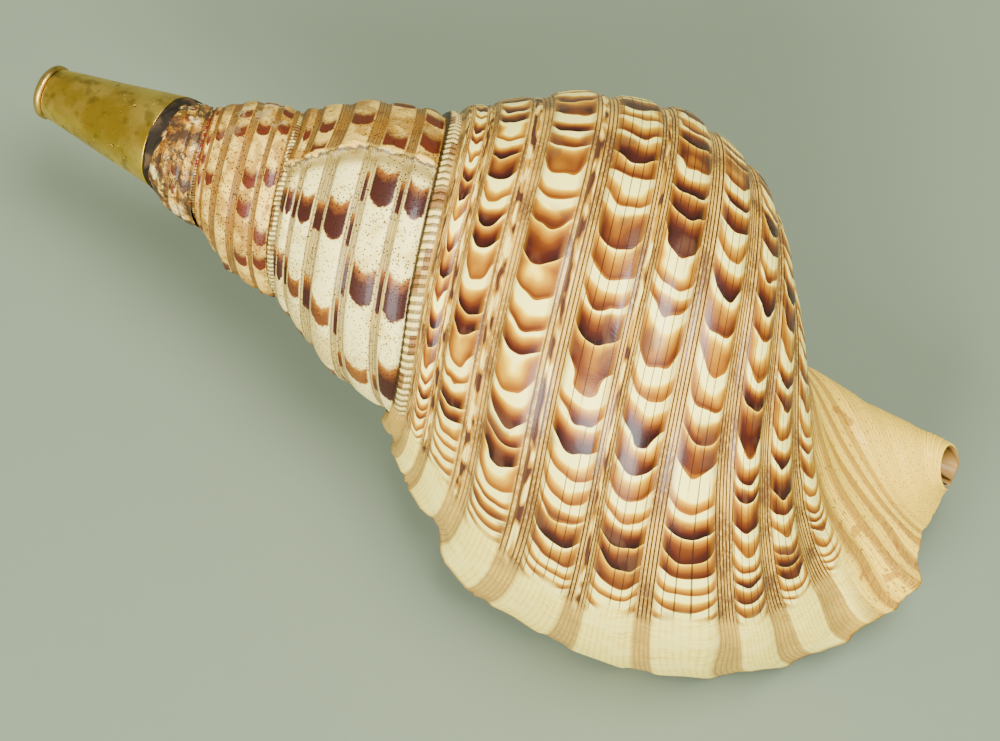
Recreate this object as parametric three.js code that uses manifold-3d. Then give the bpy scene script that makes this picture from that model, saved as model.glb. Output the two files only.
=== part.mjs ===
// A triton's trumpet: a giant triton shell, its apex cut off and fitted with a conical brass
// mouthpiece set in dark pitch. Millimetres, +Z up, the shell lying on its aperture.
import * as THREE from 'three';
import { mergeVertices } from 'three/addons/utils/BufferGeometryUtils.js';
import Module from 'manifold-3d';

const wasm = await Module();
wasm.setup();

const TURN = 2 * Math.PI;
const rad = THREE.MathUtils.degToRad;

// ---------- the shell's growth ----------
// The shell coils about its own axis, x, which runs from the apex to the canal. An angle of 0
// is the lip, and earlier growth has a negative angle. Every length shrinks by one ratio a turn.
const GROWTH = 0.0855;          // natural log of the growth in size over one radian
const LIP_START = rad(75);      // the lip flares over this last stretch
const LIP_POWER = 2.5;
// One row for each spiral rib, from the suture to the canal, as it crosses the lip's meridian:
// its distance from the axis, its place along the axis, and how far the flare carries it along
// the axis, outwards, and round the axis (degrees).
const RIBS = [
  { radius: 77.0, along: 195, flare: [-20, 4], turn: 3 },
  { radius: 86.0, along: 207, flare: [-20, 6], turn: -3 },
  { radius: 97.0, along: 225, flare: [-21, 9], turn: -8 },
  { radius: 115.0, along: 257, flare: [-26, 13], turn: -8 },
  { radius: 124.0, along: 291, flare: [-28, 13], turn: -3 },
  { radius: 128.5, along: 319, flare: [-15, 12], turn: 0 },
  { radius: 122.0, along: 347, flare: [-5, 8], turn: -2 },
  { radius: 112.0, along: 369, flare: [3, 0], turn: -3 },
  { radius: 95.0, along: 385, flare: [9, -4], turn: -4 },
  { radius: 72.0, along: 397, flare: [11, -4], turn: -9 },
  { radius: 47.0, along: 403, flare: [14, 2], turn: -11 },
  { radius: 30.0, along: 413, flare: [-3, 1], turn: -9 },
];
// The siphonal canal goes on from the last rib to a tip that stays at one place on the axis.
const TIP_ALONG = 412;
const CANAL = [
  { share: 0.66, radius: 22.0, growth: 0.9, flare: [-2, 0], turn: -5 },
  { share: 0.33, radius: 15.5, growth: 0.6, flare: [-1, 0], turn: -2 },
  { share: 0.0, radius: 10.5, growth: 0.3, flare: [0, 0], turn: 0 },
];
const LAST_RIB = RIBS.length - 1;
const PROFILE_END = LAST_RIB + CANAL.length;
const SUTURE_AT = 5.25;         // the next whorl covers each whorl from here on
const SPIRE_LEAN = 0.046;       // the spire leans off the axis by this slope
const LEAN_FROM = 213;
const APEX_SWELL = 0.18;        // the oldest whorls are a little fatter than the spiral

// ---------- relief ----------
const VALLEY_DEPTH = 2.3;       // grooves between the ribs, at full size
const CROWN_HALF = 0.28;        // half width of a rib's flat crown, in rib spacings
const VALLEY_EDGE = 0.42;
const LIP_CROWN = 1.0;          // the ribs stand higher at the lip,
const SCALLOP = 2.2;            // draw its edge in
const SCALLOP_LIFT = rad(1.6);  // and arch it up, between points that reach the ground
const NOTCH = { at: 2.45, half: 0.35, depth: 7, from: rad(14) };
// Each old lip is left as a raised ridge, a varix, two thirds of a turn before the next one.
const VARIX_STEP = rad(240);
const VARIX_HEIGHT = 6.5;
const VARIX_RISE = rad(16);
const VARIX_FALL = rad(4);

// ---------- walls ----------
const WALL = 4.2;               // from a rib's crown, at full size
const LIP_WALL = 2.8;
const BORE_FOLLOWS = 9;         // the bore follows the wall as far as this rib,
const BORE_TURNS_IN = 10.2;     // and closes here in whorls that have no canal
const NECK_EXTRA = 0.6;         // the wall is this much thicker round the neck
const GLAZE = 1.6;              // enamel laid over the whorl inside the aperture
const FINE_RIBS_END = 9;        // ribs after this one need only their crown and groove
const OLD_WHORLS = 3;           // whorls left between the last one and the cut apex
const APEX_ALONG = 15;
const WEDGES = 3;
const SAMPLES = [-CROWN_HALF, CROWN_HALF, VALLEY_EDGE, 1 - VALLEY_EDGE];

// ---------- resting attitude ----------
const NOSE_DOWN = rad(6.8);     // the canal's end lies lower than the spire
const ROLL = rad(61.4);         // from the lip's meridian to straight down
const FLAT_SPOT = 1.4;          // worn off where the shell stands

// ---------- mouthpiece ----------
const SEAT = new THREE.Vector3(40.5, 6.5, 0.5);
const MOUTH_AXIS = new THREE.Vector3(-0.953, 0.075, 0.292).normalize();
const CONE = { length: 64, base: 21.6, tip: 11.6, wall: 1.6 };
const RIM = { length: 4.2, radius: 12.7, hole: 8.0, round: 1.6, chamfer: 0.7 };
const SEAL = { length: 7, radius: 22.0, bulge: 0.6, width: 9 };
const CLEARANCE = 0.35;
const ROUND_SEGMENTS = 30;

const smoothstep = THREE.MathUtils.smoothstep;

function catmullRom(p0, p1, p2, p3, t) {
  const a = 2 * p1;
  const b = p2 - p0;
  const c = 2 * p0 - 5 * p1 + 4 * p2 - p3;
  const d = 3 * p1 - p0 - 3 * p2 + p3;
  return 0.5 * (a + b * t + c * t * t + d * t * t * t);
}

// A smooth value between rib rows, at profile coordinate s; pick(i) reads row i.
function alongProfile(s, pick) {
  const k = Math.min(Math.max(Math.floor(s), 0), PROFILE_END - 1);
  const p1 = pick(k);
  const p2 = pick(k + 1);
  const p0 = k > 0 ? pick(k - 1) : 2 * p1 - p2;
  const p3 = k < PROFILE_END - 1 ? pick(k + 2) : 2 * p2 - p1;
  return catmullRom(p0, p1, p2, p3, s - k);
}

function rowAt(i, angle) {
  const size = Math.exp(GROWTH * angle);
  if (i <= LAST_RIB) return { radius: RIBS[i].radius * size, along: RIBS[i].along * size };
  const row = CANAL[i - LAST_RIB - 1];
  const neck = RIBS[LAST_RIB].along * size;
  return {
    radius: row.radius * Math.exp(row.growth * GROWTH * angle),
    along: row.share * neck + (1 - row.share) * TIP_ALONG,
  };
}

const flareRow = (i) => (i <= LAST_RIB ? RIBS[i] : CANAL[i - LAST_RIB - 1]);

// The smooth wall at profile coordinate s, before ribs, with its outward normal.
function wallAt(s, angle) {
  const swell = 1 + APEX_SWELL * smoothstep(-angle, 1.8 * TURN, 3.5 * TURN);
  const radius = (i) => rowAt(i, angle).radius * swell;
  const along = (i) => rowAt(i, angle).along;
  const step = 0.02;
  const s0 = Math.max(s - step, 0);
  const s1 = Math.min(s + step, PROFILE_END);
  const dr = alongProfile(s1, radius) - alongProfile(s0, radius);
  const dx = alongProfile(s1, along) - alongProfile(s0, along);
  const length = Math.hypot(dr, dx);
  return {
    radius: alongProfile(s, radius),
    along: alongProfile(s, along),
    outR: dx / length,
    outX: -dr / length,
  };
}

// How far a point is raised: ribs, old lips and the arched ribs of the present lip.
function relief(s, angle) {
  const size = Math.exp(GROWTH * angle);
  const offCrown = Math.abs(s - Math.round(s));
  const valley = smoothstep(offCrown, CROWN_HALF, VALLEY_EDGE);
  const onNeck = neckShare(s);
  const late = lipShare(angle);
  let height = -VALLEY_DEPTH * size * valley * (1 - 0.75 * onNeck) * (1 - 0.7 * late);
  height += LIP_CROWN * late * (1 - valley) * (1 - onNeck);
  const sinceVarix = varixOffset(angle);
  const fade = smoothstep(s, 0, 0.6) * (1 - smoothstep(s, 8, 11));
  const rise = Math.exp(-((sinceVarix / VARIX_RISE) ** 2));
  const fall = Math.max(0, 1 - sinceVarix / VARIX_FALL);
  return height + VARIX_HEIGHT * size * fade * (sinceVarix < 0 ? rise : fall);
}

// Signed angle from the nearest old lip; the present lip has no ridge.
function varixOffset(angle) {
  const nearest = Math.min(Math.round(angle / VARIX_STEP), -1);
  return angle - nearest * VARIX_STEP;
}

// 0 on the ribbed wall, 1 on the smooth neck of the canal.
function neckShare(s) {
  return smoothstep(s, LAST_RIB - 1.5, LAST_RIB + 1);
}

// 0 before the lip's flare starts, 1 at the lip.
function lipShare(angle) {
  return THREE.MathUtils.clamp(1 + angle / LIP_START, 0, 1) ** LIP_POWER;
}

// A point of the shell, raised by height from its smooth wall.
function surfacePoint(s, angle, height) {
  const wall = wallAt(s, angle);
  const late = lipShare(angle);
  const onNeck = neckShare(s);
  const scallop = Math.cos(TURN * s) * (1 - onNeck) * smoothstep(s, 0.5, 1.5);
  const bite = Math.max(0, 1 - Math.abs(s - NOTCH.at) / NOTCH.half)
    * THREE.MathUtils.clamp(1 + angle / NOTCH.from, 0, 1);
  const out = late * (alongProfile(s, (i) => flareRow(i).flare[1]) - SCALLOP * scallop);
  const radius = wall.radius + height * wall.outR + out - NOTCH.depth * bite;
  const forward = late * alongProfile(s, (i) => flareRow(i).flare[0]);
  const along = wall.along + height * wall.outX + forward;
  const flareTurn = rad(alongProfile(s, (i) => flareRow(i).turn));
  const turn = angle + late * (flareTurn - SCALLOP_LIFT * scallop);
  return new THREE.Vector3(along, radius * Math.cos(turn) + lean(along), radius * Math.sin(turn));
}

function lean(along) {
  return SPIRE_LEAN * Math.max(0, LEAN_FROM - along);
}

// ---------- solids ----------
function toSolid(geometry) {
  const bare = new THREE.BufferGeometry();
  bare.setAttribute('position', geometry.getAttribute('position').clone());
  if (geometry.index) bare.setIndex(geometry.index.clone());
  const merged = mergeVertices(bare, 1e-4);
  const kept = [];
  const index = merged.index.array;
  for (let i = 0; i < index.length; i += 3) {
    const [a, b, c] = [index[i], index[i + 1], index[i + 2]];
    if (a !== b && b !== c && c !== a) kept.push(a, b, c);
  }
  const vertProperties = new Float32Array(merged.attributes.position.array);
  const solid = new wasm.Manifold(
    new wasm.Mesh({ numProp: 3, vertProperties, triVerts: new Uint32Array(kept) }),
  );
  if (solid.volume() > 0) return solid;
  const triVerts = new Uint32Array(kept.reverse());
  return new wasm.Manifold(new wasm.Mesh({ numProp: 3, vertProperties, triVerts }));
}

function toGeometry(solid) {
  const mesh = solid.getMesh();
  const geometry = new THREE.BufferGeometry();
  geometry.setAttribute('position', new THREE.BufferAttribute(mesh.vertProperties, 3));
  geometry.setIndex(new THREE.BufferAttribute(mesh.triVerts, 1));
  geometry.computeVertexNormals();
  return geometry;
}

// A closed body swept through sections. Each section is a list of { point, flat }, where flat
// is its place in the half plane through the axis, which the two ends are triangulated in.
function sweep(sections, closed) {
  const count = sections[0].length;
  const positions = sections.flat().flatMap((p) => p.point.toArray());
  const faces = [];
  const last = closed ? count : count - 1;
  for (let j = 0; j < sections.length - 1; j += 1) {
    for (let i = 0; i < last; i += 1) {
      const a = j * count + i;
      const b = j * count + ((i + 1) % count);
      faces.push(a, b, a + count);
      faces.push(b, b + count, a + count);
    }
  }
  for (const j of [0, sections.length - 1]) {
    const outline = sections[j].map((p) => p.flat);
    const clockwise = THREE.ShapeUtils.isClockWise(outline);
    for (const corner of THREE.ShapeUtils.triangulateShape(outline, [])) {
      const face = corner.map((v) => v + j * count);
      if ((j === 0) !== clockwise) face.reverse();
      faces.push(...face);
    }
  }
  const geometry = new THREE.BufferGeometry();
  geometry.setAttribute('position', new THREE.Float32BufferAttribute(positions, 3));
  geometry.setIndex(faces);
  return geometry;
}

// Profile coordinates that show each rib's crown and the flat of each groove.
function ribSamples(from, to, offsets) {
  const samples = [from];
  for (let rib = 0; rib <= to; rib += 1) {
    for (const offset of rib < FINE_RIBS_END ? offsets : rib < LAST_RIB ? [0, 0.5] : [0]) {
      const s = rib + offset;
      if (s > from + 0.1 && s < to - 0.1) samples.push(s);
    }
  }
  samples.push(to);
  return samples;
}

// The meridian outline at one angle: every whorl that the angle crosses, apex to canal.
function meridian(angle, grow) {
  const axisPoint = (along) => ({
    point: new THREE.Vector3(along, lean(along), 0),
    flat: new THREE.Vector2(along, 0),
  });
  const outline = [axisPoint(APEX_ALONG)];
  for (let whorl = OLD_WHORLS; whorl >= 0; whorl -= 1) {
    const at = angle - whorl * TURN;
    const to = whorl > 0 ? SUTURE_AT : PROFILE_END;
    const offsets = whorl > 1 ? [0, 0.5] : SAMPLES;
    for (const s of ribSamples(0, to, offsets)) {
      const point = surfacePoint(s, at, relief(s, at) + grow);
      outline.push({ point, flat: flatten(point) });
    }
  }
  outline.push(axisPoint(TIP_ALONG));
  return outline;
}

function flatten(point) {
  return new THREE.Vector2(point.x, Math.hypot(point.y - lean(point.x), point.z));
}

// The growth angles that the outside is sampled at, closer at the old lips and at the lip.
function growthAngles() {
  const degrees = [-377, -369, -360, -345, -330, -315, -300, -285, -270];
  degrees.push(-257, -248, -240, -236, -225, -210, -195, -180, -165, -150);
  degrees.push(-137, -128, -120, -116, -105, -90, -75, -60, -47, -36, -26, -17, -9, 0);
  return degrees.map(rad);
}

// The solid outside, raised by grow, made as wedges that together go once round the axis.
function outside(grow) {
  const angles = growthAngles();
  const wedges = [];
  for (let i = 0; i < WEDGES; i += 1) {
    const first = Math.round((i * (angles.length - 1)) / WEDGES);
    const last = Math.round(((i + 1) * (angles.length - 1)) / WEDGES);
    const span = angles.slice(first, last + 1);
    wedges.push(toSolid(sweep(span.map((angle) => meridian(angle, grow)), true)));
  }
  return wasm.Manifold.union(wedges);
}

// The inside of the tube at one angle: the wall's inner face, then back along the columella
// and over the whorl before it.
function boreSection(angle, samples) {
  const late = lipShare(angle);
  const size = Math.exp(GROWTH * angle);
  const wall = THREE.MathUtils.lerp(WALL, LIP_WALL, late) * Math.sqrt(size);
  const section = [];
  const canal = smoothstep(angle, rad(-170), rad(-100));
  const neck = smoothstep(angle, rad(-200), rad(-160));
  const reach = THREE.MathUtils.lerp(BORE_TURNS_IN, PROFILE_END, canal);
  for (const sample of samples) {
    const beyond = Math.max(0, sample - BORE_FOLLOWS) / (PROFILE_END - BORE_FOLLOWS);
    const s = Math.min(sample, BORE_FOLLOWS) + beyond * (reach - BORE_FOLLOWS);
    const point = surfacePoint(s, angle, -wall * (1 + NECK_EXTRA * neck * smoothstep(s, 9, 10.5)));
    if (s > PROFILE_END - 0.01) point.x += 8;
    section.push({ point, flat: flatten(point) });
  }
  const end = section[section.length - 1].flat;
  const onAxis = (along, radius) => {
    const point = new THREE.Vector3(along, radius * Math.cos(angle) + lean(along), radius * Math.sin(angle));
    section.push({ point, flat: new THREE.Vector2(along, radius) });
  };
  const before = angle - TURN;
  const shoulder = wallAt(10, before);
  onAxis(end.x, Math.min(4.5 * Math.sqrt(size), 0.5 * end.y));
  onAxis(0.45 * end.x + 0.55 * shoulder.along, 11 * size);
  for (const s of [9, 7.5, 6.3]) {
    const point = surfacePoint(s, before, GLAZE * size + 0.4);
    section.push({ point, flat: flatten(point) });
  }
  return section.reverse();
}

// The whole inside: the flared mouth, finely drawn, and the tube behind it.
function bore() {
  const fine = [];
  for (let s = 1.5; s < LAST_RIB; s += 0.5) fine.push(s);
  fine.push(LAST_RIB, 12.5, PROFILE_END);
  const coarse = [1.6, 3.2, 4.8, 6.4, 7.8, BORE_FOLLOWS, 9.8, 10.8, 11.8, 12.8, PROFILE_END];
  const near = [-50, -36, -26, -17, -9, 0, 14].map(rad);
  const deep = [];
  for (let angle = -1240; angle < -190; angle += 22) deep.push(rad(angle));
  for (let angle = -180; angle < -45; angle += 12) deep.push(rad(angle));
  deep.push(rad(-44));
  const mouth = toSolid(sweep(near.map((angle) => boreSection(angle, fine)), true));
  const tube = toSolid(sweep(deep.map((angle) => boreSection(angle, coarse)), true));
  return mouth.add(tube);
}

// ---------- placing ----------
// Turns the shell's own axis frame so that it lies on its aperture.
function restingTurn() {
  const roll = new THREE.Matrix4().makeRotationX(-Math.PI / 2 - ROLL);
  const tilt = new THREE.Matrix4().makeRotationY(NOSE_DOWN);
  return tilt.multiply(roll);
}

// The shell, cut square to the mouthpiece where its apex was.
function shellSolid() {
  const inward = MOUTH_AXIS.clone().negate();
  const whole = outside(0).subtract(bore());
  const cut = whole.trimByPlane(inward.toArray(), inward.dot(SEAT) + CLEARANCE);
  return cut.decompose().sort((a, b) => b.volume() - a.volume())[0];
}

// A solid of revolution about the mouthpiece's axis, from pairs of [radius, distance out].
function turned(outline) {
  const points = outline.map(([radius, out]) => new THREE.Vector2(radius, out));
  points.push(points[0].clone());
  const geometry = new THREE.LatheGeometry(points, ROUND_SEGMENTS);
  const up = new THREE.Vector3(0, 1, 0);
  geometry.applyQuaternion(new THREE.Quaternion().setFromUnitVectors(up, MOUTH_AXIS));
  geometry.translate(...SEAT.toArray());
  return toSolid(geometry);
}

function coneSolid() {
  const { length, base, tip, wall } = CONE;
  return turned([[base, 0], [tip, length], [tip - wall, length], [base - wall, 0]]);
}

function rimSolid() {
  const start = CONE.length + CLEARANCE;
  const end = start + RIM.length;
  const { radius, hole, round, chamfer } = RIM;
  return turned([
    [radius - chamfer, start],
    [radius, start + chamfer],
    [radius, end - round],
    [radius - 0.5 * round, end - 0.3 * round],
    [radius - round, end],
    [hole + round, end],
    [hole, end - round],
    [hole, start],
  ]);
}

function sealSolid() {
  const { radius, length, bulge, width } = SEAL;
  const ring = turned([
    [radius, -CLEARANCE],
    [radius + bulge, -0.6 * length],
    [radius - bulge, -length],
    [radius - width, -length],
    [radius - width, -CLEARANCE],
  ]);
  return ring.subtract(outside(CLEARANCE));
}

const enamel = new THREE.MeshStandardMaterial({ color: 0xd9c19a, roughness: 0.35 });
const brass = new THREE.MeshStandardMaterial({ color: 0x9a8437, roughness: 0.4, metalness: 1 });
const pitch = new THREE.MeshStandardMaterial({ color: 0x33261d, roughness: 0.8 });

// Every piece, turned to lie on the aperture but not yet centred over the origin.
const turn = restingTurn();
const pieces = [
  { name: 'shell', solid: shellSolid().transform(turn.elements), material: enamel },
  { name: 'mouthpiece_cone', solid: coneSolid().transform(turn.elements), material: brass },
  { name: 'mouthpiece_rim', solid: rimSolid().transform(turn.elements), material: brass.clone() },
  { name: 'pitch_seal', solid: sealSolid().transform(turn.elements), material: pitch },
];
const boxes = pieces.map((piece) => piece.solid.boundingBox());
const lowest = [0, 1, 2].map((axis) => Math.min(...boxes.map((box) => box.min[axis])));
const highest = [0, 1, 2].map((axis) => Math.max(...boxes.map((box) => box.max[axis])));
const ground = lowest[2] + FLAT_SPOT;
const middle = [0, 1].map((axis) => 0.5 * (lowest[axis] + highest[axis]));

const group = new THREE.Group();
for (const { name, solid, material } of pieces) {
  const placed = solid.translate(-middle[0], -middle[1], -ground).trimByPlane([0, 0, 1], 0);
  const mesh = new THREE.Mesh(toGeometry(placed), material);
  mesh.name = name;
  group.add(mesh);
}

export default group;
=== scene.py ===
"""A triton's trumpet: the looks of the shell, its brass mouthpiece and the dark seal between them."""
import math

import bmesh
import bpy
import numpy as np
from mathutils import Matrix, Vector


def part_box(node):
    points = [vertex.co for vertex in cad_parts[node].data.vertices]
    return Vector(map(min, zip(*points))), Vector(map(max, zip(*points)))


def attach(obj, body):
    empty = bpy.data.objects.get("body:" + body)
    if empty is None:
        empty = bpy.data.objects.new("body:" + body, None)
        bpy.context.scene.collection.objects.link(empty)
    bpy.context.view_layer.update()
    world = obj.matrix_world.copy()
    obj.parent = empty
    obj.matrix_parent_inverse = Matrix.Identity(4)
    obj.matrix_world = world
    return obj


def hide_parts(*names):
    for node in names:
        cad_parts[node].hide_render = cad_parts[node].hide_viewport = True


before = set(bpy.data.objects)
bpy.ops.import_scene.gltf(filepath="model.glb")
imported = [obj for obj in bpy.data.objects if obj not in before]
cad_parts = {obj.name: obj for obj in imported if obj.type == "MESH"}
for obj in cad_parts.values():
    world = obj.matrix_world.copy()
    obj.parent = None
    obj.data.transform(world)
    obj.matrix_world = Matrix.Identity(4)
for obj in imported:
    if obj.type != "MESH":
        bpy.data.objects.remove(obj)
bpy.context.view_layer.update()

MM = 0.001

# ---------- growth of the shell, in millimetres, as in the solids ----------
# x runs along the shell's axis from the apex to the canal; angle 0 is the lip, earlier growth < 0.
TURN = 2 * math.pi
GROWTH = 0.0855              # natural log of the growth in size over one radian
LIP_START = math.radians(75)   # the lip flares over this last stretch
LIP_POWER = 2.5
# one row for each rib from the suture to the canal, where it crosses the lip's meridian:
# radius, place along the axis, then the lip's flare: along the axis, outwards, turned (degrees)
RIBS = np.array([
    (77.0, 195, -20, 4, 3),
    (86.0, 207, -20, 6, -3),
    (97.0, 225, -21, 9, -8),
    (115.0, 257, -26, 13, -8),
    (124.0, 291, -28, 13, -3),
    (128.5, 319, -15, 12, 0),
    (122.0, 347, -5, 8, -2),
    (112.0, 369, 3, 0, -3),
    (95.0, 385, 9, -4, -4),
    (72.0, 397, 11, -4, -9),
    (47.0, 403, 14, 2, -11),
    (30.0, 413, -3, 1, -9),
])
TIP_ALONG = 412              # the canal's tip stays at this place on the axis
# the canal's rows: share of its length left, radius, growth of that radius, then the flare
CANAL = np.array([
    (0.66, 22.0, 0.9, -2, 0, -5),
    (0.33, 15.5, 0.6, -1, 0, -2),
    (0.0, 10.5, 0.3, 0, 0, 0),
])
LAST_RIB = len(RIBS) - 1
PROFILE_END = LAST_RIB + len(CANAL)
SUTURE_AT = 5.25             # the next whorl covers each whorl from here on,
SUTURE_SPARE = 0.6           # and the older whorls' mesh goes on under it this far
SPIRE_LEAN = 0.046           # the spire leans off the axis by this slope,
LEAN_FROM = 213              # towards the apex from this place on it
APEX_SWELL = 0.18            # the oldest whorls are a little fatter than the spiral

# ---------- relief, in millimetres at full size ----------
VALLEY_DEPTH = 2.7           # grooves between the ribs
CROWN_HALF = 0.28            # half width of a rib's crown, in rib spacings
VALLEY_EDGE = 0.42
CROWN_DOME = 0.8             # a crown's middle stands above its sides
# thin ribs that stand between the broad ones: place in the profile, half width, height
THIN_RIBS = (
    (0.84, 0.07, 0.5), (1.50, 0.07, 1.0), (2.42, 0.055, 1.0),
    (3.42, 0.05, 1.1), (4.53, 0.04, 0.5),
)
RIB_SWING = 0.42             # the last whorl's ribs swing towards the canal, in rib spacings
LIP_CROWN = 1.0              # the ribs stand higher at the lip,
SCALLOP = 2.2                # draw its edge in
SCALLOP_LIFT = math.radians(1.6)   # and arch it between them
# the lip's chipped notch: place in the profile, half width, depth, and where it starts
NOTCH_AT, NOTCH_HALF, NOTCH_DEPTH, NOTCH_FROM = 2.45, 0.35, 7.0, math.radians(14)
# each old lip is left as a raised ridge, a varix, two thirds of a turn before the next one
VARIX_STEP = math.radians(240)
VARIX_HEIGHT = 5.4
VARIX_RISE = math.radians(15)
VARIX_FALL = math.radians(1.6)
VARIX_CREST = 1.9            # the old lip's thin edge, above the swelling behind it
# at the suture the old lip starts ahead of its even place, and away from it it falls back
VARIX_LEAD = math.radians(5)
VARIX_LAG = math.radians(17.5)
OLD_SUTURE_DEPTH = 0.4       # the groove between the older whorls
BEADS, BEAD_SLANT = 118, 9   # folds of the band along the suture in one turn, and their slant
BEAD_HEIGHT = 0.55
WALL = 4.2                   # from a rib's crown to the inside
LIP_WALL = 2.8
# the canal's end is cut on a slant, so that its opening looks a little upwards
TIP_CUT, TIP_SLANT = 4.0, 5.6
TIP_CUT_TOWARDS = (-0.63, -0.77)   # the side of the canal, across the axis, that is cut back most
TIP_SHIFT, TIP_PINCH = 4.0, 0.03   # the end is shifted to one side, and drawn in by this share
TIP_REACH = 1.6              # these changes start this far before the end of the profile
# the canal's rim and the tube inside it: forward of the tip, and in from its outside
SPOUT_RINGS = (
    (0.3, 0.2), (0.5, 0.6), (0.4, 1.0), (0.0, 1.3),
    (-1.5, 1.5), (-7, 1.9), (-14, 2.4), (-20, 4.0), (-22, 20),
)
# one turn behind the lip, the canal's inner lip curls in and stops short of the tip
CURL_FROM, CURL_TO = math.radians(340), math.radians(400)
CURL_DEPTH, CURL_BACK = 5.0, 14.0
# there the whorl is a bare inner lip: smoother, and a little thicker
INNER_LIP_FROM, INNER_LIP_TO = math.radians(345), math.radians(362)
INNER_LIP_SWELL = 0.8
SUTURE_TUCK = 6.0            # how deep a whorl's edge is buried in the whorl before it
EASE_MARGIN = 8.0            # what lies past the solid's box is drawn in over this depth
RIM_BULGE = 1.1              # how far the lip's rounded edge stands forward
RIM_SHARES = (0.12, 0.35, 0.65, 0.88)   # where its rows lie between the outside and the inside

# ---------- rows of the mesh: from, to and step of the growth angle, in degrees ----------
# the finest rows are at the edge of the old lip
LAST_ROWS = (
    (-600, -500, 3.0), (-500, -470, 0.4), (-470, -376, 2.0),
    (-376, -30, 1.5), (-30, 0.01, 1.0),
)
SPIRE_ROWS = ((-1340, -599, 2.5),)
INSIDE_ROWS = ((0, 30, 1.5), (30, 420, 6.0))
SPOUT_FROM = math.radians(-372)   # the canal's rim is drawn from here on, where its tube is open
# columns within one rib spacing, then even ones along the neck
RIB_OFFSETS = (0, 0.14, 0.27, 0.32, 0.37, 0.42, 0.5, 0.58, 0.63, 0.68, 0.73, 0.86)
NECK_FROM, NECK_STEP = 9, 1 / 7

# ---------- attitude ----------
NOSE_DOWN = math.radians(6.8)   # the canal's end lies lower than the spire
ROLL = math.radians(61.4)       # from the lip's meridian to straight down

# ---------- mouthpiece, in millimetres ----------
MOUTH_AXIS = Vector((-0.953, 0.075, 0.292)).normalized()
CONE_LENGTH, CONE_BASE, CONE_TIP, CONE_WALL = 64, 21.6, 11.6, 1.6
RIM_START, RIM_LENGTH, RIM_RADIUS, RIM_HOLE = 64.35, 4.2, 12.7, 8.0
SEAT_IN_SHELL = Vector((40.5, 6.5, 0.5))
CLEARANCE = 0.35             # between the cut apex and the brass
ROUND_SEGMENTS = 120
CORNER_STEPS = 3

# ---------- camera ----------
IMAGE_WIDTH = 1000
FOCAL_PIXELS = 2790.9
SENSOR_WIDTH = 36.0
# in the shell's own axes: where the camera stands, and its turn as an axis times an angle
CAMERA_AT = Vector((303.775, -228.701, -1191.80))
CAMERA_TURN = Vector((0.202, 0.119, 0.414))


def resting_turn():
    """Turns the shell's own axes to the shared frame, as it lies on its aperture."""
    roll = Matrix.Rotation(-math.pi / 2 - ROLL, 3, "X")
    tilt = Matrix.Rotation(NOSE_DOWN, 3, "Y")
    return tilt @ roll


TURN_TO_FRAME = resting_turn()
MOUTH = (TURN_TO_FRAME @ MOUTH_AXIS).normalized()


def cad_points(node):
    """A node's corners in millimetres, in the shared frame."""
    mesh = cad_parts[node].data
    points = np.zeros(len(mesh.vertices) * 3)
    mesh.vertices.foreach_get("co", points)
    return points.reshape(-1, 3) / MM


def seat_in_frame():
    """The centre of the brass cone's base, read from the frame."""
    points = cad_points("mouthpiece_cone")
    out = points @ np.array(MOUTH)
    base = points[out < out.min() + 0.2]
    return Vector(0.5 * (base.min(0) + base.max(0)))


SEAT = seat_in_frame()
SHIFT = SEAT - TURN_TO_FRAME @ SEAT_IN_SHELL


def to_frame(points):
    """Points in the shell's own axes, in millimetres, to the shared frame."""
    return points @ np.array(TURN_TO_FRAME).T + np.array(SHIFT)


def smoothstep(x, low, high):
    """0 below low, 1 above high, and smooth between."""
    t = np.clip((x - low) / (high - low), 0, 1)
    return t * t * (3 - 2 * t)


# ---------- the shell's surface ----------
def profile_weights(places, count):
    """Weights that take values at whole profile places to smooth values between them."""
    places = np.clip(np.asarray(places, float), 0, count - 1)
    weights = np.zeros((len(places), count))
    for row, place in enumerate(places):
        k = min(int(place), count - 2)
        t = place - k
        before = -0.5 * t + t * t - 0.5 * t ** 3
        here = 1 - 2.5 * t * t + 1.5 * t ** 3
        there = 0.5 * t + 2 * t * t - 1.5 * t ** 3
        after = -0.5 * t * t + 0.5 * t ** 3
        weights[row, k] += here
        weights[row, k + 1] += there
        if k > 0:
            weights[row, k - 1] += before
        else:
            weights[row, k] += 2 * before
            weights[row, k + 1] -= before
        if k < count - 2:
            weights[row, k + 2] += after
        else:
            weights[row, k + 1] += 2 * after
            weights[row, k] -= after
    return weights


def rows_at(angles):
    """Radius and place along the axis of every profile row, at each angle."""
    size = np.exp(GROWTH * angles)[:, None]
    radius = RIBS[:, 0] * size
    along = RIBS[:, 1] * size
    neck = along[:, -1:]
    canal_radius = CANAL[:, 1] * np.exp(CANAL[:, 2] * GROWTH * angles[:, None])
    canal_along = CANAL[:, 0] * neck + (1 - CANAL[:, 0]) * TIP_ALONG
    swell = 1 + APEX_SWELL * smoothstep(-angles, 1.8 * TURN, 3.5 * TURN)[:, None]
    return np.hstack([radius, canal_radius]) * swell, np.hstack([along, canal_along])


def flare_rows():
    """The lip's flare at every profile row: along the axis, outwards, turned."""
    return np.vstack([RIBS[:, 2:5], CANAL[:, 3:6]])


def lip_share(angles):
    """How much of the lip's flare there is at each angle."""
    return np.clip(1 + angles / LIP_START, 0, 1) ** LIP_POWER


def neck_share(places):
    """0 on the ribs and 1 on the canal's neck."""
    return smoothstep(places, LAST_RIB - 1.5, LAST_RIB + 1)


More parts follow.
